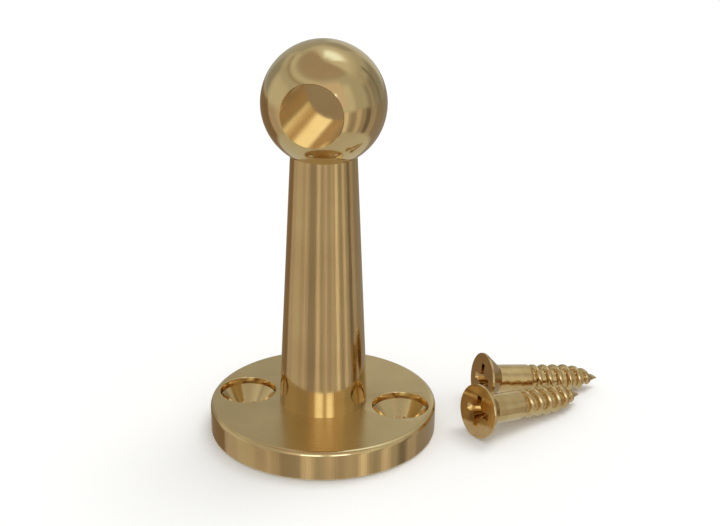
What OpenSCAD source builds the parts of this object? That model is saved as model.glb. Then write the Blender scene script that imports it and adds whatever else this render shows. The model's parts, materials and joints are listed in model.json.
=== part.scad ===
/* [Base flange] */
// Diameter of the round base flange
flange_d = 31.3; // [26:0.1:40]
// Thickness of the flange
flange_t = 4.1; // [3.4:0.1:6]
// Radius on the flange's upper edge
flange_edge_r = 0.65; // [0.2:0.05:1]
// Bevel on the flange's lower edge
flange_bevel = 0.25; // [0.1:0.05:0.5]

/* [Post] */
// Diameter of the post where it stands on the flange
foot_d = 12.2; // [10:0.1:15]
// Diameter of the post where the ball sits on it
neck_d = 8.8; // [7.2:0.1:11]
// Height of the rail's axis above the mounting surface
rail_h = 46.2; // [36:0.1:80]

/* [Ball head] */
// Diameter of the ball
ball_d = 16.3; // [13.5:0.1:20]
// Diameter of the rail that the ball holds
rail_d = 8; // [6:0.1:9.6]
// Room around the rail in its socket, on the diameter
rail_room = 0.1; // [0.1:0.05:0.5]
// How far the socket's flat floor lies in front of the ball's centre
socket_floor = 0; // [0:0.1:2]
// Break on the socket's edge
socket_break = 0.15; // [0.05:0.05:0.4]

/* [Wood screws] */
// Diameter of the smooth shank and of the thread's crests
screw_d = 4.1; // [3.4:0.1:5]
// Diameter of the flat countersunk head
head_d = 7.6; // [6.3:0.1:9.2]
// Included angle of the countersunk head
head_angle = 82; // [80:1:90]
// Thickness of the head's straight rim
head_rim = 0.3; // [0.1:0.05:0.5]
// Length from the head's face to the tip
screw_len = 19.05; // [16:0.05:25]
// Distance from one turn of the thread to the next
screw_pitch = 1.69; // [1.4:0.01:2.1]
// Diameter of the core inside the thread
screw_core_d = 2.9; // [2.4:0.1:3.3]
// Turns of the thread at full height
full_turns = 4; // [3:1:5]
// Length of the conical point
point_len = 2.85; // [2.3:0.05:3.5]
// Width across the cross recess
recess_d = 4.5; // [3.7:0.1:5]
// Width of one wing of the recess
recess_wing = 0.9; // [0.7:0.05:1.1]
// Depth of the recess
recess_depth = 2; // [1.6:0.1:2.4]

/* [Fixing holes] */
// Depth of the straight wall above the countersink
sink_wall = 1; // [0.6:0.1:1.2]
// Room around a screw head in its countersink, on the diameter
head_room = 0.2; // [0.1:0.05:0.6]
// Room around a screw shank in its hole, on the diameter
shank_room = 0.3; // [0.2:0.05:0.8]

/* [Fasteners inside] */
// Diameter of the stud and of the flange screw
stud_d = 4; // [3:0.1:4.8]
// Pitch of their thread
stud_pitch = 0.7; // [0.5:0.05:0.8]
// Length of the stud inside the post
stud_in_post = 8; // [6:0.5:12]
// Metal left between the stud's hole and the rail socket
stud_cover = 0.4; // [0.3:0.1:1]
// Room around a thread in its tapped hole, on the diameter
thread_room = 0.06; // [0.04:0.01:0.2]
// Length of the flange screw from its head's face to its end
flange_screw_len = 12; // [10:0.5:16]
// Diameter of the flange screw's head
flange_head_d = 7.5; // [6:0.1:9]
// Thickness of that head's straight rim
flange_head_rim = 0.2; // [0.15:0.05:0.4]
// How far that head is let in below the flange's underside
flange_head_sunk = 0.3; // [0.2:0.1:0.6]
// Width of that head's slot
slot_w = 1.1; // [0.8:0.1:1.4]
// Depth of that head's slot
slot_depth = 1; // [0.8:0.1:1.2]

/* [Loose screws beside the part] */
// Gap in X from the flange's edge to the front screw's head
front_gap = 5.9; // [5:0.1:12]
// Place in Y of the front screw's head
front_y = 0.9; // [-4:0.1:2]
// Direction in which the front screw's tip points
front_turn = 44.4; // [30:0.1:60]
// Gap in X from the flange's edge to the rear screw's head
rear_gap = 5.4; // [5:0.1:12]
// Place in Y of the rear screw's head
rear_y = 11; // [9.5:0.1:16]
// Direction in which the rear screw's tip points
rear_turn = 29; // [15:0.1:40]
// Turn of the rear screw about its own axis
rear_roll = -6.4; // [-45:0.1:45]

/* [Hidden] */

$fn = 96;
// Overrun of a cutting tool past the face that it cuts
over = 1;
// Angle of the tip that a drill leaves, and of a machine screw's head
drill_angle = 118;
machine_angle = 90;
// Share of the pitch that a turn of thread covers at its foot and at its crest
foot_share = 0.55;
crest_share = 0.2;
// Share of the thread's diameter that is left where the point begins
point_share = 0.8;

// Height of a cone between two diameters at an included angle
function cone_h(wide, narrow, angle) = (wide - narrow) / 2 / tan(angle / 2);

// The ball is cut flat where its section is as wide as the post's neck
seat_drop = sqrt(pow(ball_d / 2, 2) - pow(neck_d / 2, 2));
seat_z = rail_h - seat_drop;
socket_d = rail_d + rail_room;
// The fixing holes stand halfway between the post's foot and the flange's edge
hole_pitch = (flange_d + foot_d) / 2;
hole_d = screw_d + shank_room;
mouth_d = head_d + head_room;

// The stud fills its hole in the post and stops short of the rail socket
tapped_d = stud_d + thread_room;
stud_core_d = stud_d - 1.1 * stud_pitch;
stud_in_ball = seat_drop - socket_d / 2 - stud_cover;
stud_len = stud_in_post + stud_in_ball;
flange_tap_depth = flange_screw_len + flange_head_sunk - flange_t + 2 * stud_pitch;

// Stations along a wood screw, from its head's face to its tip
thread_from = screw_len - 11.6;
head_h = head_rim + cone_h(head_d, screw_d, head_angle);
last_full = thread_from + (full_turns - 0.5) * screw_pitch;
taper_from = last_full + crest_share * screw_pitch / 2;
point_from = screw_len - point_len;
// Radius at x on a screw whose full radius is r: full, then tapered, then a point
function point_r(x, r) =
    x <= taper_from ? r
    : x <= point_from
        ? r * (1 - (1 - point_share) * (x - taper_from) / (point_from - taper_from))
        : r * point_share * (screw_len - x) / (screw_len - point_from);

// A loose screw lies on its head's rim and on whatever else touches the ground first: its last
// full turn, the start of its point or its tip
lie_angle = min([for (x = [taper_from, point_from, screw_len])
    atan((head_d / 2 - point_r(x, screw_d / 2)) / (x - head_rim))]);
lie_h = head_rim * sin(lie_angle) + head_d / 2 * cos(lie_angle);

// Outline points of one ring of thread at x on a wood screw, foot to foot
function wood_ridge(x) =
    let (foot = foot_share * screw_pitch / 2, crest = crest_share * screw_pitch / 2)
    [[point_r(x - foot, screw_core_d / 2), x - foot],
     [point_r(x - crest, screw_d / 2), x - crest],
     [point_r(x + crest, screw_d / 2), x + crest],
     [point_r(x + foot, screw_core_d / 2), x + foot]];

// A straight machine thread as rings, standing on z = 0
module machine_thread(len) {
    turns = floor((len - stud_pitch) / stud_pitch);
    lead = (len - turns * stud_pitch) / 2;
    rotate_extrude()
        polygon(concat(
            [[0, 0], [stud_core_d / 2, 0]],
            [for (i = [0 : turns - 1], side = [0, 1, 2])
                [side == 1 ? stud_d / 2 : stud_core_d / 2,
                 lead + (i + side / 2) * stud_pitch * 0.999]],
            [[stud_core_d / 2, len], [0, len]]));
}

// A hole drilled and tapped upwards from z = 0
module tapped_hole(depth) {
    translate([0, 0, -over]) cylinder(h = depth + over, d = tapped_d);
    translate([0, 0, depth])
        cylinder(h = cone_h(tapped_d, 0, drill_angle), d1 = tapped_d, d2 = 0);
}

// A fixing hole: through hole, countersink and straight wall, mouth at z = 0
module fixing_hole() {
    sink_h = cone_h(mouth_d, hole_d, head_angle);
    translate([0, 0, -flange_t - over]) cylinder(h = flange_t + 2 * over, d = hole_d);
    translate([0, 0, -sink_wall - sink_h]) cylinder(h = sink_h, d1 = hole_d, d2 = mouth_d);
    translate([0, 0, -sink_wall]) cylinder(h = sink_wall + over, d = mouth_d);
}

// Half section of the flange: bevelled below, rounded above
module flange_section() {
    r = flange_d / 2;
    polygon([[0, 0], [r - flange_bevel, 0], [r, flange_bevel], [r, flange_t - flange_edge_r],
             [r - flange_edge_r, flange_t - flange_edge_r], [r - flange_edge_r, flange_t],
             [0, flange_t]]);
    intersection() {
        translate([r - flange_edge_r, flange_t - flange_edge_r]) circle(r = flange_edge_r);
        translate([r - flange_edge_r - 0.01, flange_t - flange_edge_r - 0.01])
            square(flange_edge_r + 0.01);
    }
}

module base_flange() {
    shank_d = stud_d + shank_room;
    sunk_d = flange_head_d + head_room;
    // The screw's cone then lies on the cone of its countersink
    sunk_z = flange_head_sunk + flange_head_rim - head_room / 2;
    color("#a98f58")
        difference() {
            rotate_extrude() flange_section();
            for (side = [-1, 1])
                translate([side * hole_pitch / 2, 0, flange_t]) fixing_hole();
            translate([0, 0, -over]) cylinder(h = flange_t + 2 * over, d = shank_d);
            translate([0, 0, -over]) cylinder(h = over + sunk_z, d = sunk_d);
            translate([0, 0, sunk_z])
                cylinder(h = cone_h(sunk_d, shank_d, machine_angle), d1 = sunk_d, d2 = shank_d);
        }
}

module post() {
    color("#b3945c")
        difference() {
            translate([0, 0, flange_t])
                cylinder(h = seat_z - flange_t, d1 = foot_d, d2 = neck_d);
            translate([0, 0, flange_t]) tapped_hole(flange_tap_depth);
            translate([0, 0, seat_z - stud_in_post])
                cylinder(h = stud_in_post + over, d = tapped_d);
        }
}

module ball_head() {
    color("#b3945c")
        difference() {
            translate([0, 0, rail_h]) sphere(d = ball_d);
            translate([-ball_d / 2, -ball_d / 2, seat_z - ball_d])
                cube([ball_d, ball_d, ball_d]);
            translate([0, 0, rail_h]) rail_socket();
            translate([0, 0, seat_z - over])
                cylinder(h = over + stud_in_ball + thread_room, d = tapped_d);
        }
}

// The rail's blind socket, open towards -Y, with its edge broken
module rail_socket() {
    mouth_y = sqrt(pow(ball_d / 2, 2) - pow(socket_d / 2, 2));
    rotate([90, 0, 0]) {
        translate([0, 0, socket_floor]) cylinder(h = ball_d, d = socket_d);
        translate([0, 0, mouth_y - socket_break])
            cylinder(h = 2 * socket_break, d1 = socket_d, d2 = socket_d + 4 * socket_break);
    }
}

module ball_stud() {
    color("#b9a26b")
        translate([0, 0, seat_z - stud_in_post]) machine_thread(stud_len);
}

module flange_screw() {
    cone_top = flange_head_rim + cone_h(flange_head_d, stud_d, machine_angle);
    post_at = flange_t - flange_head_sunk;
    color("#b9a26b")
        translate([0, 0, flange_head_sunk])
            difference() {
                union() {
                    cylinder(h = flange_head_rim, d = flange_head_d);
                    translate([0, 0, flange_head_rim])
                        cylinder(h = cone_top - flange_head_rim, d1 = flange_head_d, d2 = stud_d);
                    translate([0, 0, cone_top]) cylinder(h = post_at - cone_top, d = stud_d);
                    translate([0, 0, post_at]) machine_thread(flange_screw_len - post_at);
                }
                translate([-flange_head_d, -slot_w / 2, -over])
                    cube([2 * flange_head_d, slot_w, over + slot_depth]);
            }
}

// Cross recess cut into a head whose face is at z = 0
module cross_recess() {
    tip_d = recess_d / 2.2;
    intersection() {
        translate([0, 0, -over])
            cylinder(h = over + recess_depth,
                     d1 = recess_d + (recess_d - tip_d) * over / recess_depth, d2 = tip_d);
        for (turn = [0, 90])
            rotate([0, 0, turn])
                translate([-recess_d, -recess_wing / 2, -2 * over])
                    cube([2 * recess_d, recess_wing, recess_depth + 3 * over]);
    }
    translate([0, 0, -over])
        cylinder(h = over + 0.9 * recess_depth, d1 = tip_d, d2 = recess_wing);
}

// A wood screw along +Z, its head's face at z = 0
module wood_screw() {
    rings = floor((screw_len - thread_from) / screw_pitch) + 1;
    ridge_at = [for (i = [0 : rings - 1]) thread_from + (i + 0.5) * screw_pitch];
    color("#c6b06f")
        difference() {
            rotate_extrude()
                polygon(concat(
                    [[0, 0], [head_d / 2, 0], [head_d / 2, head_rim],
                     [screw_d / 2, head_h], [screw_d / 2, thread_from - 0.3],
                     [screw_core_d / 2, thread_from]],
                    [for (x = ridge_at)
                        if (x + screw_pitch / 2 < screw_len) each wood_ridge(x)],
                    [[0, screw_len]]));
            cross_recess();
        }
}

// Lays a screw on the ground, its head at the given place and its tip pointing along turn
module lying(place, turn, roll) {
    translate([place[0], place[1], lie_h])
        rotate([0, 90 + lie_angle, turn])
            rotate([0, 0, roll])
                wood_screw();
}

module wood_screw_front() {
    lying([flange_d / 2 + front_gap, front_y], front_turn, 0);
}

module wood_screw_rear() {
    lying([flange_d / 2 + rear_gap, rear_y], rear_turn, rear_roll);
}

base_flange();
post();
ball_head();
ball_stud();
flange_screw();
wood_screw_front();
wood_screw_rear();
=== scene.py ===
import json
import math

import bmesh
import bpy
from mathutils import Matrix, Vector


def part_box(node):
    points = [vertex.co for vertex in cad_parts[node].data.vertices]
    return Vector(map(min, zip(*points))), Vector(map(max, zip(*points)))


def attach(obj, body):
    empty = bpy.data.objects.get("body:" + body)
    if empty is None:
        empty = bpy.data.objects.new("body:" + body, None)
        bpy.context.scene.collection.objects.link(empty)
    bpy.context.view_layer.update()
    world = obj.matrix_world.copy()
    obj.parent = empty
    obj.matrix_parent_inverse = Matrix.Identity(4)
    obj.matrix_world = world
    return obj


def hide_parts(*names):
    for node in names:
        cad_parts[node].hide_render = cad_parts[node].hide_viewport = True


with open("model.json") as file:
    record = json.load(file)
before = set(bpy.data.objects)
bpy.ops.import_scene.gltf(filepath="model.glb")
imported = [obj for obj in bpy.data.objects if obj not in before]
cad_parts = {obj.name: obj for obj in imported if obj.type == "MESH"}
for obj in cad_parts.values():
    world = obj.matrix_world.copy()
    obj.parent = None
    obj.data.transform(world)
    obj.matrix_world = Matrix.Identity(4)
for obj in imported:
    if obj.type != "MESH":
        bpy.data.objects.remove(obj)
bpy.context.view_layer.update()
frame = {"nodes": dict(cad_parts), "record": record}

# ---- Camera ----
# A short telephoto view from in front, a little to the right and above. Its picture is shifted a
# little, as the object stands left of the lens's axis.
VIEW_TURN = math.radians(9.87)
VIEW_TILT = math.radians(21.85)
VIEW_ROLL = math.radians(1.1)
camera_data = bpy.data.cameras.new("camera")
camera_data.lens = 63.52
camera_data.shift_x = -0.0270
camera_data.shift_y = 0.0127
camera_data.clip_start = 0.01
camera = bpy.data.objects.new("camera", camera_data)
bpy.context.scene.collection.objects.link(camera)
camera.rotation_euler = (
    Matrix.Rotation(VIEW_TURN, 3, "Z")
    @ Matrix.Rotation(math.pi / 2 - VIEW_TILT, 3, "X")
    @ Matrix.Rotation(VIEW_ROLL, 3, "Z")
).to_euler()
camera.location = (0.03453, -0.15476, 0.08661)
bpy.context.scene.camera = camera

# ---- Base flange ----
# A disc parted off brass bar, turned and polished: its upper edge is rounded, its lower edge is
# bevelled, and two countersinks with a short straight wall above them take the wood screws. From
# below, a third countersink lets in the head of the screw that holds the post.
MM = 0.001
AROUND = 256
SHARP_ANGLE = math.radians(28)
HEAD_ANGLE = 82
DRILL_ANGLE = 118
flange_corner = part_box("base_flange")[1]
flange_r = flange_corner.x
flange_t = flange_corner.z
FLANGE_EDGE_R = 0.65 * MM
FLANGE_BEVEL = 0.25 * MM
mounts = {mount["name"]: mount for mount in frame["record"]["mounts"]}
hole_pitch = mounts["fixing_holes"]["dims"]["spacing_x_mm"] * MM
hole_r = mounts["fixing_holes"]["dims"]["hole_r_mm"] * MM
SINK_SLOPE = math.tan(math.radians(HEAD_ANGLE / 2))
SINK_WALL = 1.0 * MM
SINK_MOUTH_R = 3.9 * MM
SINK_LIP = 0.12 * MM
SCREW_HOLE_R = 2.15 * MM
SUNK_HEAD_R = 3.85 * MM
SUNK_HEAD_DEPTH = 0.4 * MM


def arc(centre, radius, start, end, steps):
    """Points on an arc of a section, from one angle in degrees to another."""
    angles = [math.radians(start + (end - start) * i / steps) for i in range(steps + 1)]
    return [(centre[0] + radius * math.cos(a), centre[1] + radius * math.sin(a)) for a in angles]


def turned(name, section, place=None, closed=True):
    """A piece turned on a lathe: a section of (radius, height) points revolved round Z."""
    work = bmesh.new()
    rings = []
    for radius, height in section:
        if radius < 1e-7:
            rings.append([work.verts.new((0, 0, height))])
        else:
            turns = [2 * math.pi * i / AROUND for i in range(AROUND)]
            rings.append([work.verts.new((radius * math.cos(a), radius * math.sin(a), height))
                          for a in turns])
    pairs = list(zip(rings, rings[1:] + rings[:1])) if closed else list(zip(rings, rings[1:]))
    for lower, upper in pairs:
        for i in range(AROUND):
            j = (i + 1) % AROUND
            corners = [lower[i % len(lower)], lower[j % len(lower)],
                       upper[j % len(upper)], upper[i % len(upper)]]
            face = list(dict.fromkeys(corners))
            if len(face) > 2:
                work.faces.new(face)
    bmesh.ops.recalc_face_normals(work, faces=work.faces)
    mesh = bpy.data.meshes.new(name)
    work.to_mesh(mesh)
    work.free()
    if place is not None:
        mesh.transform(place)
    piece = bpy.data.objects.new(name, mesh)
    bpy.context.scene.collection.objects.link(piece)
    return piece


def apply_modifier(piece, modifier):
    """Leaves a modifier's result in the piece's own mesh."""
    bpy.context.view_layer.update()
    shaped = piece.evaluated_get(bpy.context.evaluated_depsgraph_get())
    mesh = bpy.data.meshes.new_from_object(shaped)
    piece.modifiers.remove(modifier)
    piece.data = mesh


def cut(piece, cutter):
    """Takes the cutter's volume out of the piece, and throws the cutter away."""
    modifier = piece.modifiers.new("cut", "BOOLEAN")
    modifier.operation = "DIFFERENCE"
    modifier.solver = "EXACT"
    modifier.object = cutter
    apply_modifier(piece, modifier)
    bpy.data.objects.remove(cutter)


def smooth(piece, flat_faces=False):
    """Smooth shading between sharp edges. Flat faces next to a round keep their own normal."""
    piece.data.polygons.foreach_set("use_smooth", [True] * len(piece.data.polygons))
    piece.data.set_sharp_from_angle(angle=SHARP_ANGLE)
    if flat_faces:
        modifier = piece.modifiers.new("flat", "WEIGHTED_NORMAL")
        modifier.keep_sharp = True
        modifier.weight = 100
        apply_modifier(piece, modifier)


def fixing_hole(side):
    """The cutter for one fixing hole: through hole, countersink, straight wall and broken lip."""
    sink_top = flange_t - SINK_WALL
    sink_low = sink_top - (SINK_MOUTH_R - hole_r) / SINK_SLOPE
    lip = arc((SINK_MOUTH_R + SINK_LIP, flange_t - SINK_LIP), SINK_LIP, 180, 90, 4)
    section = [(0, -MM), (hole_r, -MM), (hole_r, sink_low), (SINK_MOUTH_R, sink_top), *lip,
               (SINK_MOUTH_R + SINK_LIP, flange_t + MM), (0, flange_t + MM)]
    return turned("fixing_hole", section, Matrix.Translation((side * hole_pitch / 2, 0, 0)))


edge = arc((flange_r - FLANGE_EDGE_R, flange_t - FLANGE_EDGE_R), FLANGE_EDGE_R, 90, 0, 12)
cone_top = SUNK_HEAD_DEPTH + SUNK_HEAD_R - SCREW_HOLE_R
flange = turned("flange_turned", [
    (SCREW_HOLE_R, flange_t), *edge, (flange_r, FLANGE_BEVEL), (flange_r - FLANGE_BEVEL, 0),
    (SUNK_HEAD_R, 0), (SUNK_HEAD_R, SUNK_HEAD_DEPTH), (SCREW_HOLE_R, cone_top)])
for side in (-1, 1):
    cut(flange, fixing_hole(side))
smooth(flange, flat_faces=True)


def linear(code):
    """An sRGB hex colour as linear red, green, blue and alpha."""
    channels = [int(code[i:i + 2], 16) / 255 for i in (1, 3, 5)]
    return [c / 12.92 if c <= 0.04045 else ((c + 0.055) / 1.055) ** 2.4 for c in channels] + [1]


def add_node(material, kind, settings=None, links=None):
    """Adds one shader node with its settings, and links other nodes' outputs into it."""
    node = material.node_tree.nodes.new(kind)
    for key, value in (settings or {}).items():
        if isinstance(key, str) and hasattr(node, key):
            setattr(node, key, value)
        else:
            node.inputs[key].default_value = value
    for key, output in (links or {}).items():
        material.node_tree.links.new(output, node.inputs[key])
    return node


def new_metal(name, roughness):
    """A material with only a metal surface in it, and the place of each point on it."""
    material = bpy.data.materials.new(name)
    material.use_nodes = True
    surface = material.node_tree.nodes["Principled BSDF"]
    surface.inputs["Metallic"].default_value = 1
    surface.inputs["Roughness"].default_value = roughness
    place = add_node(material, "ShaderNodeTexCoord").outputs["Object"]
    return material, surface, place


def two_tones(material, surface, place, tones, patch):
    """Clear lacquer on brass lets its tone drift a little, in patches of a real size."""
    drift = add_node(material, "ShaderNodeTexNoise",
                     {"Scale": 1 / patch, "Detail": 3, "Roughness": 0.5}, {"Vector": place})
    blend = add_node(material, "ShaderNodeValToRGB", links={"Fac": drift.outputs["Fac"]})
    blend.color_ramp.elements[0].position = 0.3
    blend.color_ramp.elements[1].position = 0.7
    blend.color_ramp.elements[0].color = linear(tones[0])
    blend.color_ramp.elements[1].color = linear(tones[1])
    material.node_tree.links.new(blend.outputs["Color"], surface.inputs["Base Color"])


def lines(material, surface, place, stretch, line, depth, polish):
    """Fine lines left by the last tool or mop, as a bump, with the polish varying along them."""
    mapped = add_node(material, "ShaderNodeMapping", {"Scale": stretch}, {"Vector": place})
    grain = add_node(material, "ShaderNodeTexNoise",
                     {"Scale": 1 / line, "Detail": 4, "Roughness": 0.6},
                     {"Vector": mapped.outputs["Vector"]})
    bump = add_node(material, "ShaderNodeBump", {"Strength": 1, "Distance": depth},
                    {"Height": grain.outputs["Fac"]})
    gloss = add_node(material, "ShaderNodeMapRange",
                     {"To Min": polish[0], "To Max": polish[1]}, {"Value": grain.outputs["Fac"]})
    material.node_tree.links.new(bump.outputs["Normal"], surface.inputs["Normal"])
    material.node_tree.links.new(gloss.outputs["Result"], surface.inputs["Roughness"])


# Faced brass, polished on a lathe: rings a tenth of a millimetre apart, drawn at 0.9 mm so that
# they show, blur what the top reflects into a satin gloss.
# Two tones of the same lacquered brass
TONES = ("#cdb080", "#dbbf8d")
RING_SPACING = 0.9 * MM
faced_brass, surface, place = new_metal("faced_brass", 0.22)
two_tones(faced_brass, surface, place, TONES, 9 * MM)
rings = add_node(faced_brass, "ShaderNodeTexWave",
                 {"wave_type": "RINGS", "rings_direction": "Z", "Scale": math.pi / (10 * RING_SPACING),
                  "Distortion": 0.6, "Detail": 2, "Detail Scale": 1.5}, {"Vector": place})
ring_bump = add_node(faced_brass, "ShaderNodeBump", {"Strength": 1, "Distance": 0.0005 * MM},
                     {"Height": rings.outputs["Fac"]})
ring_gloss = add_node(faced_brass, "ShaderNodeMapRange", {"To Min": 0.21, "To Max": 0.25},
                      {"Value": rings.outputs["Fac"]})
faced_brass.node_tree.links.new(ring_bump.outputs["Normal"], surface.inputs["Normal"])
faced_brass.node_tree.links.new(ring_gloss.outputs["Result"], surface.inputs["Roughness"])
# Mopped brass, on the rim, the countersinks and the post: a close mirror with faint lines along
# the axis, drawn 0.35 mm apart so that they show.
mopped_brass, surface, place = new_metal("mopped_brass", 0.1)
two_tones(mopped_brass, surface, place, TONES, 9 * MM)
lines(mopped_brass, surface, place, (1, 1, 0.03), 0.35 * MM, 0.009 * MM, (0.06, 0.14))
flange.data.materials.append(faced_brass)
flange.data.materials.append(mopped_brass)
for face in flange.data.polygons:
    lies_flat = abs(face.normal.z) > 0.999
    face.material_index = 0 if lies_flat else 1
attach(flange, "post_assembly")
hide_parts("base_flange")

# ---- Post ----
# A pillar turned to a straight taper and polished lengthwise on a mop. It stands on the flange in
# a sharp line, and is drilled and tapped at its foot for a screw and at its neck for a stud.
post_low, post_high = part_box("post")
foot_z = post_low.z
seat_z = post_high.z
foot_r = post_high.x
TAPPED_R = 2.03 * MM
FOOT_HOLE = 9.6 * MM
NECK_HOLE = 8.0 * MM
rail_z = mounts["rail_socket"]["pos_m"][2]
ball_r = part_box("ball_head")[1].z - rail_z
neck_r = math.sqrt(ball_r ** 2 - (rail_z - seat_z) ** 2)
drill_tip = TAPPED_R / math.tan(math.radians(DRILL_ANGLE / 2))
post = turned("post_turned", [
    (0, foot_z + FOOT_HOLE + drill_tip), (TAPPED_R, foot_z + FOOT_HOLE), (TAPPED_R, foot_z),
    (foot_r, foot_z), (neck_r, seat_z), (TAPPED_R, seat_z), (TAPPED_R, seat_z - NECK_HOLE),
    (0, seat_z - NECK_HOLE)])
smooth(post)

post.data.materials.append(mopped_brass)
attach(post, "post_assembly")
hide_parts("post")

# ---- Ball head ----
# A turned and mirror-polished brass ball. It is cut flat where it sits on the post, and a blind
# hole with a flat floor in the ball's centre plane takes the end of the rail.
socket_r = mounts["rail_socket"]["dims"]["r_mm"] * MM
SOCKET_BREAK = 0.05 * MM
STUD_IN_BALL = 2.4 * MM
mouth_r = socket_r + SOCKET_BREAK
mouth_turn = math.degrees(math.asin(mouth_r / ball_r))
mouth_y = math.sqrt(ball_r ** 2 - mouth_r ** 2)
skin = arc((0, 0), ball_r, 90 - mouth_turn, -90, 150)
socket_axis = Matrix.Translation((0, 0, rail_z)) @ Matrix.Rotation(math.pi / 2, 4, "X")
ball = turned("ball_turned", [
    (0, 0), (socket_r, 0), (socket_r, mouth_y - SOCKET_BREAK), *skin[:-1], (0, -ball_r)],
    socket_axis, closed=False)
work = bmesh.new()
work.from_mesh(ball.data)
everything = list(work.verts) + list(work.edges) + list(work.faces)
bmesh.ops.bisect_plane(work, geom=everything, plane_co=(0, 0, seat_z), plane_no=(0, 0, -1),
                       clear_outer=True)
open_edges = [edge for edge in work.edges if edge.is_boundary]
bmesh.ops.edgeloop_fill(work, edges=open_edges)
bmesh.ops.recalc_face_normals(work, faces=work.faces)
work.to_mesh(ball.data)
work.free()
cut(ball, turned("stud_hole", [
    (0, seat_z - MM), (TAPPED_R, seat_z - MM), (TAPPED_R, seat_z + STUD_IN_BALL),
    (0, seat_z + STUD_IN_BALL)]))
smooth(ball)

# Mirror brass: the mop leaves only a faint haze of scratches in no one direction.
mirror_brass, surface, place = new_metal("mirror_brass", 0.08)
two_tones(mirror_brass, surface, place, TONES, 7 * MM)
lines(mirror_brass, surface, place, (1, 1, 1), 0.5 * MM, 0.0005 * MM, (0.07, 0.13))
ball.data.materials.append(mirror_brass)

# Bored brass: the reamer leaves the socket's wall satin, out of the mop's reach, with streaks
# 1.5 mm wide along the bore.
bored_brass, surface, place = new_metal("bored_brass", 0.17)
two_tones(bored_brass, surface, place, TONES, 7 * MM)
lines(bored_brass, surface, place, (1, 0.02, 1), 1.5 * MM, 0.02 * MM, (0.14, 0.19))
ball.data.materials.append(bored_brass)
for face in ball.data.polygons:
    from_axis = math.hypot(face.center.x, face.center.z - rail_z)
    if from_axis < socket_r + 0.01 * MM and -mouth_y < face.center.y < -0.1 * MM:
        face.material_index = 1
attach(ball, "post_assembly")
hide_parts("ball_head")

# ---- Stud and flange screw ----
# Bright drawn brass with rolled threads, inside the assembly. Only the slotted head of the flange
# screw shows, let in to the flange's underside.
drawn_brass, surface, place = new_metal("drawn_brass", 0.2)
two_tones(drawn_brass, surface, place, ("#d0b486", "#dec598"), 3 * MM)
lines(drawn_brass, surface, place, (1, 1, 0.1), 0.2 * MM, 0.0008 * MM, (0.16, 0.26))
for node in ("ball_stud", "flange_screw"):
    piece = frame["nodes"][node]
    piece.data.materials.clear()
    piece.data.materials.append(drawn_brass)

# ---- Wood screws ----
# Two No. 8 by 3/4 inch brass wood screws with flat heads, cold headed with a cross recess. The
# thread is cut, one start, right hand, with round crests, and it thins out into a sharp point.
HEAD_R = 3.8 * MM
HEAD_RIM = 0.3 * MM
SHANK_R = 2.05 * MM
CORE_R = 1.45 * MM
SCREW_LEN = 19.05 * MM
PITCH = 1.69 * MM
THREAD_LEN = 11.6 * MM
FULL_TURNS = 4
POINT_LEN = 2.85 * MM
POINT_SHARE = 0.8
CREST_WIDTH = 0.56
RUN_OUT = 0.4 * MM
RUN_IN = 0.25 * MM
TAPER_LEAD = 0.4
HEAD_BREAK = 0.04 * MM
RECESS_R = 2.25 * MM
RECESS_WING = 0.45 * MM
RECESS_DEPTH = 2.0 * MM
RECESS_FILLET = 0.55 * MM
head_h = HEAD_RIM + (HEAD_R - SHANK_R) / SINK_SLOPE
thread_from = SCREW_LEN - THREAD_LEN
taper_from = thread_from + (FULL_TURNS - TAPER_LEAD) * PITCH
point_from = SCREW_LEN - POINT_LEN


def toward_point(x, radius):
    """What is left of a radius at x: all of it, then a slight taper, then the point."""
    if x <= taper_from:
        return radius
    if x <= point_from:
        return radius * (1 - (1 - POINT_SHARE) * (x - taper_from) / (point_from - taper_from))
    return radius * POINT_SHARE * (SCREW_LEN - x) / POINT_LEN


def screw_radius(x, turn):
    """Radius of the screw at x from the head's face, at an angle round its axis."""
    if x <= HEAD_RIM:
        return HEAD_R
    if x <= head_h:
        return HEAD_R - (x - HEAD_RIM) * SINK_SLOPE
    if x <= thread_from - RUN_OUT:
        return SHANK_R
    core = toward_point(x, CORE_R)
    crest = toward_point(x, SHANK_R)
    shoulder = min(max((thread_from + RUN_IN - x) / (RUN_OUT + RUN_IN), 0), 1)
    shank = core + (SHANK_R - core) * math.sqrt(1 - (1 - shoulder) ** 2)
    phase = (x - thread_from) / PITCH - turn / (2 * math.pi)
    off_crest = abs((phase + 0.5) % 1 - 0.5) / (CREST_WIDTH / 2)
    ridge = math.sqrt(max(1 - off_crest ** 2, 0)) if x > thread_from else 0
    return max(shank, core + (crest - core) * ridge)


def recess(place):
    """The cutter for a cross recess: four wings with rounded corners, narrowing as they go in."""
    work = bmesh.new()
    loops = []
    # How deep each outline lies, and its share of the full width
    for depth, share in ((-0.5 * MM, 1.12), (0, 1), (0.75 * RECESS_DEPTH, 0.62),
                         (RECESS_DEPTH, 0.3)):
        wing = RECESS_WING * (0.6 + 0.4 * share)
        fillet = RECESS_FILLET * share
        corner = arc((wing + fillet, wing + fillet), fillet, 270, 180, 6)
        quarter = [(RECESS_R * share, -wing), (RECESS_R * share, wing), *corner]
        loop = []
        for turn in range(4):
            spin = Matrix.Rotation(turn * math.pi / 2, 2)
            loop += [work.verts.new((*(spin @ Vector(point)), depth)) for point in quarter]
        loops.append(loop)
    for upper, lower in zip(loops, loops[1:]):
        for i in range(len(upper)):
            j = (i + 1) % len(upper)
            work.faces.new((upper[i], upper[j], lower[j], lower[i]))
    work.faces.new(loops[0])
    work.faces.new(loops[-1])
    bmesh.ops.recalc_face_normals(work, faces=work.faces)
    mesh = bpy.data.meshes.new("recess")
    work.to_mesh(mesh)
    work.free()
    mesh.transform(place)
    cutter = bpy.data.objects.new("recess", mesh)
    bpy.context.scene.collection.objects.link(cutter)
    return cutter


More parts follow.
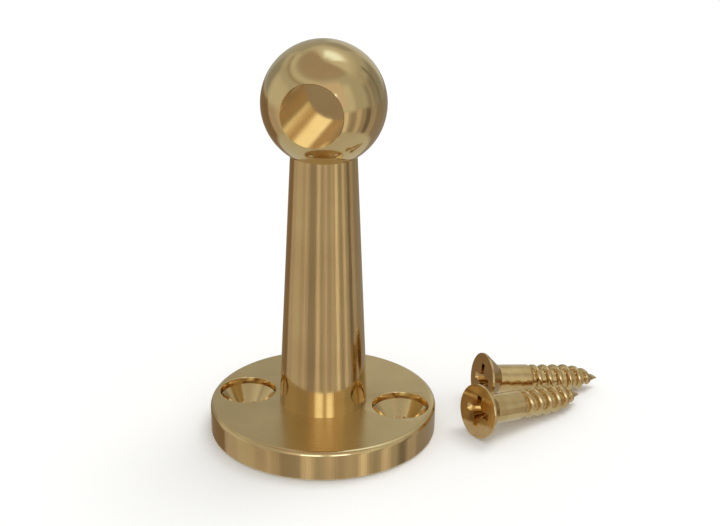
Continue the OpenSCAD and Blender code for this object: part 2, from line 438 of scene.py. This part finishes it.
def wood_screw(name, place):
    """One wood screw along its own Z, its head's face at zero, laid down by its place."""
    stations = [0, HEAD_BREAK, HEAD_RIM, head_h, thread_from - RUN_OUT]
    step = PITCH / 20
    x = thread_from - 0.35 * MM
    while x < SCREW_LEN - step:
        stations.append(x)
        x += step
    across = 96
    work = bmesh.new()
    face_centre = work.verts.new((0, 0, 0))
    rings = []
    for x in stations:
        ring = []
        for i in range(across):
            turn = 2 * math.pi * i / across
            radius = screw_radius(x, turn) - (HEAD_BREAK if x == 0 else 0)
            ring.append(work.verts.new((radius * math.cos(turn), radius * math.sin(turn), x)))
        rings.append(ring)
    tip = work.verts.new((0, 0, SCREW_LEN))
    for i in range(across):
        j = (i + 1) % across
        work.faces.new((face_centre, rings[0][j], rings[0][i]))
        work.faces.new((tip, rings[-1][i], rings[-1][j]))
        for lower, upper in zip(rings, rings[1:]):
            work.faces.new((lower[i], lower[j], upper[j], upper[i]))
    bmesh.ops.recalc_face_normals(work, faces=work.faces)
    mesh = bpy.data.meshes.new(name)
    work.to_mesh(mesh)
    work.free()
    screw = bpy.data.objects.new(name, mesh)
    bpy.context.scene.collection.objects.link(screw)
    cut(screw, recess(Matrix.Identity(4)))
    screw.data.transform(place)
    smooth(screw)
    return screw


# Tumbled brass: bright but not quite even, with shallow dents 1.1 mm across.
tumbled_brass, surface, place = new_metal("tumbled_brass", 0.16)
two_tones(tumbled_brass, surface, place, ("#cdad7a", "#dfc391"), 2 * MM)
lines(tumbled_brass, surface, place, (1, 1, 1), 1.1 * MM, 0.012 * MM, (0.08, 0.15))

# Each loose screw lies on its head's rim and its last full turn: the gap in X from the flange's
# edge to its head, its place in Y, the way its point faces, and its turn about its own axis.
LOOSE = {"front": (5.9 * MM, 0.9 * MM, 44.4, 0), "rear": (5.4 * MM, 11.0 * MM, 29.0, -6.4)}
lie = math.atan((HEAD_R - SHANK_R) / (taper_from - HEAD_RIM))
lie_h = HEAD_RIM * math.sin(lie) + HEAD_R * math.cos(lie)
for name, (gap, y, turn, roll) in LOOSE.items():
    place = (Matrix.Translation((flange_r + gap, y, lie_h))
             @ Matrix.Rotation(math.radians(turn), 4, "Z")
             @ Matrix.Rotation(math.pi / 2 + lie, 4, "Y")
             @ Matrix.Rotation(math.radians(roll), 4, "Z"))
    screw = wood_screw(f"screw_{name}", place)
    screw.data.materials.append(tumbled_brass)
    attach(screw, f"{name}_screw")
    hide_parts(f"wood_screw_{name}")

# ---- Table and light ----
# A pale table that keeps a faint shadow, and round the part a light tent that only polished
# metal shows, as a silversmith uses: soft patches of light and dark on the inside of a dome.
table_mesh = bpy.data.meshes.new("table")
TABLE = 3
TABLE_GAP = 0.02 * MM
table_mesh.from_pydata([(-TABLE, -TABLE, 0), (TABLE, -TABLE, 0), (TABLE, TABLE, 0),
                        (-TABLE, TABLE, 0)], [], [(0, 1, 2, 3)])
table = bpy.data.objects.new("table", table_mesh)
table.location.z = -TABLE_GAP
bpy.context.scene.collection.objects.link(table)
pale = bpy.data.materials.new("pale_table")
pale.use_nodes = True
pale_surface = pale.node_tree.nodes["Principled BSDF"]
pale_surface.inputs["Base Color"].default_value = linear("#f4f4f2")
pale_surface.inputs["Roughness"].default_value = 1
pale_surface.inputs["Specular IOR Level"].default_value = 0
table_mesh.materials.append(pale)
table.visible_glossy = False


def toward(azimuth, elevation, distance):
    """A point seen from the ball, its azimuth counted from the right of the camera's view."""
    a = math.radians(azimuth) + VIEW_TURN
    e = math.radians(elevation)
    return Vector((0, 0, rail_z)) + distance * Vector(
        (math.cos(a) * math.cos(e), math.sin(a) * math.cos(e), math.sin(e)))


# Soft-edged patches of light and dark round the part, painted in this order: azimuth from and to,
# elevation from and to, how soft the edge is in degrees, how bright, and the colour of the light
WARM = "#fcf2e4"
PLAIN = "#f0f5ec"
DAYLIGHT = "#d8eeff"
AMBER = "#ffdfb4"
OLIVE = "#f6f2e0"
PATCHES = [
    (-180, 180, -90, 90, 1, 0.64, PLAIN),
    # The table round the part
    (-180, 180, -90, -36, 12, 0.68, PLAIN), (-180, 180, -38, -4, 8, 0.54, WARM),
    (-184, -160, -38, -4, 4, 0.64, OLIVE), (-157, -149, -38, -4, 3, 0.54, WARM),
    (-146, -141, -38, -4, 3, 0.68, WARM), (-132, -111, -38, -4, 4, 0.37, WARM),
    (-108, -98, -38, -4, 3, 0.72, WARM), (-104, -102, -38, -4, 2, 0.92, WARM),
    (-96, -90, -38, -4, 3, 0.48, OLIVE), (-84, -78, -38, -4, 3, 0.68, WARM),
    (-72, -69, -38, -4, 2, 0.44, WARM), (-64, -57, -38, -4, 4, 0.62, OLIVE),
    (-51, -43, -38, -4, 3, 0.98, OLIVE), (-38, -29, -38, -4, 3, 0.42, OLIVE),
    (-26, -18, -38, -4, 3, 0.74, WARM), (-15, -9, -38, -4, 3, 0.44, OLIVE),
    (-7, 6, -38, -4, 4, 0.22, WARM), (9, 17, -38, -4, 4, 0.46, WARM),
    (20, 112, -38, -4, 5, 0.34, WARM), (112, 155, -38, -4, 6, 0.26, AMBER),
    # The room, its curtain on the right and its picture rail on the left
    (-2, 58, -6, 26, 12, 0.40, PLAIN), (8, 13, -6, 40, 4, 0.54, WARM),
    (30, 36, -6, 36, 4, 0.30, PLAIN), (60, 91, -2, 27, 6, 0.72, PLAIN),
    (66, 91, 27, 46, 6, 0.48, PLAIN), (91, 122, -2, 44, 6, 0.52, PLAIN),
    (122, 148, -2, 26, 8, 0.42, PLAIN), (155, 196, -6, 26, 10, 0.76, PLAIN),
    (130, 262, 37, 41, 4, 0.46, WARM), (130, 262, 43, 50, 4, 0.78, PLAIN),
    (-58, -30, -4, 40, 10, 0.84, PLAIN),
    # The ceiling, a soft box and its glow
    (-180, 180, 54, 126, 8, 0.50, WARM), (-10, 110, 48, 84, 24, 0.90, PLAIN),
    (28, 92, 60, 78, 15, 1.90, DAYLIGHT),
    # A window with two panes, in front
    (-125, -48, 3, 48, 8, 0.80, WARM),
    (-109, -89, 2, 28, 3, 3.00, DAYLIGHT), (-80, -63, 2, 28, 3, 3.00, DAYLIGHT)]


def covered(angle, start, end, soft):
    """How much a patch covers an angle: 1 well inside it, 0 outside, with a soft edge."""
    inside = (end - start) / 2 - abs(angle - (start + end) / 2)
    share = min(max(inside / soft + 0.5, 0), 1)
    return share * share * (3 - 2 * share)


def studio_light(azimuth, elevation):
    """The colour of the light that comes from one direction."""
    colour = Vector((0, 0, 0))
    for start, end, bottom, top, soft, tone, tint in PATCHES:
        middle = (start + end) / 2
        near = middle + (azimuth - middle + 180) % 360 - 180
        share = covered(elevation, bottom, top, soft)
        if end - start < 360:
            share *= covered(near, start, end, soft)
        colour = colour.lerp(tone * Vector(linear(tint)[:3]), share)
    return (*colour, 1)


# The tent itself, painted point by point
DOME_R = 1.0
DOME_STEP = 1.5
dome_turns = [i * DOME_STEP for i in range(round(360 / DOME_STEP))]
dome_rises = [-90 + i * DOME_STEP for i in range(round(180 / DOME_STEP) + 1)]
dome_points = [toward(a, e, DOME_R) for e in dome_rises for a in dome_turns]
across = len(dome_turns)
dome_faces = [(row * across + i, row * across + (i + 1) % across,
               (row + 1) * across + (i + 1) % across, (row + 1) * across + i)
              for row in range(len(dome_rises) - 1) for i in range(across)]
dome_mesh = bpy.data.meshes.new("dome")
dome_mesh.from_pydata(dome_points, [], dome_faces)
paint = dome_mesh.color_attributes.new("light", "FLOAT_COLOR", "POINT")
dome_light = [studio_light(a, e) for e in dome_rises for a in dome_turns]
paint.data.foreach_set("color", [channel for colour in dome_light for channel in colour])
dome = bpy.data.objects.new("dome", dome_mesh)
bpy.context.scene.collection.objects.link(dome)
tent = bpy.data.materials.new("light_tent")
tent.use_nodes = True
tent.node_tree.nodes.clear()
painted = add_node(tent, "ShaderNodeVertexColor", {"layer_name": "light"})
glow = add_node(tent, "ShaderNodeEmission", links={"Color": painted.outputs["Color"]})
add_node(tent, "ShaderNodeOutputMaterial", links={"Surface": glow.outputs["Emission"]})
tent.cycles.emission_sampling = "NONE"
dome_mesh.materials.append(tent)
dome.visible_camera = False
dome.visible_diffuse = False
dome.visible_transmission = False
dome.visible_shadow = False

# Soft light from the same side on the table, so that the part throws a faint shadow on it
table_light = bpy.data.lights.new("table_light", "SUN")
table_light.energy = 0.95
table_light.angle = math.radians(30)
lamp = bpy.data.objects.new("table_light", table_light)
lamp.location = toward(48, 66, 0.8)
lamp.rotation_euler = (lamp.location - Vector((0, 0, rail_z))).to_track_quat("Z", "Y").to_euler()
lamp.visible_glossy = False
bpy.context.scene.collection.objects.link(lamp)

world = bpy.data.worlds.new("studio")
bpy.context.scene.world = world
world.use_nodes = True
world.node_tree.nodes.clear()
ray = add_node(world, "ShaderNodeLightPath")
seen = add_node(world, "ShaderNodeMath", {"operation": "MAXIMUM"},
                {0: ray.outputs["Is Camera Ray"], 1: ray.outputs["Is Glossy Ray"]})
seen = add_node(world, "ShaderNodeMath", {"operation": "MAXIMUM"},
                {0: seen.outputs[0], 1: ray.outputs["Is Transmission Ray"]})
fill = add_node(world, "ShaderNodeBackground", {"Color": (1, 1, 1, 1), "Strength": 0.88})
white = add_node(world, "ShaderNodeBackground", {"Color": (1, 1, 1, 1), "Strength": 1})
sky = add_node(world, "ShaderNodeMixShader", links={
    0: seen.outputs[0], 1: fill.outputs["Background"], 2: white.outputs["Background"]})
add_node(world, "ShaderNodeOutputWorld", links={"Surface": sky.outputs["Shader"]})

bpy.context.scene.view_settings.view_transform = "Standard"
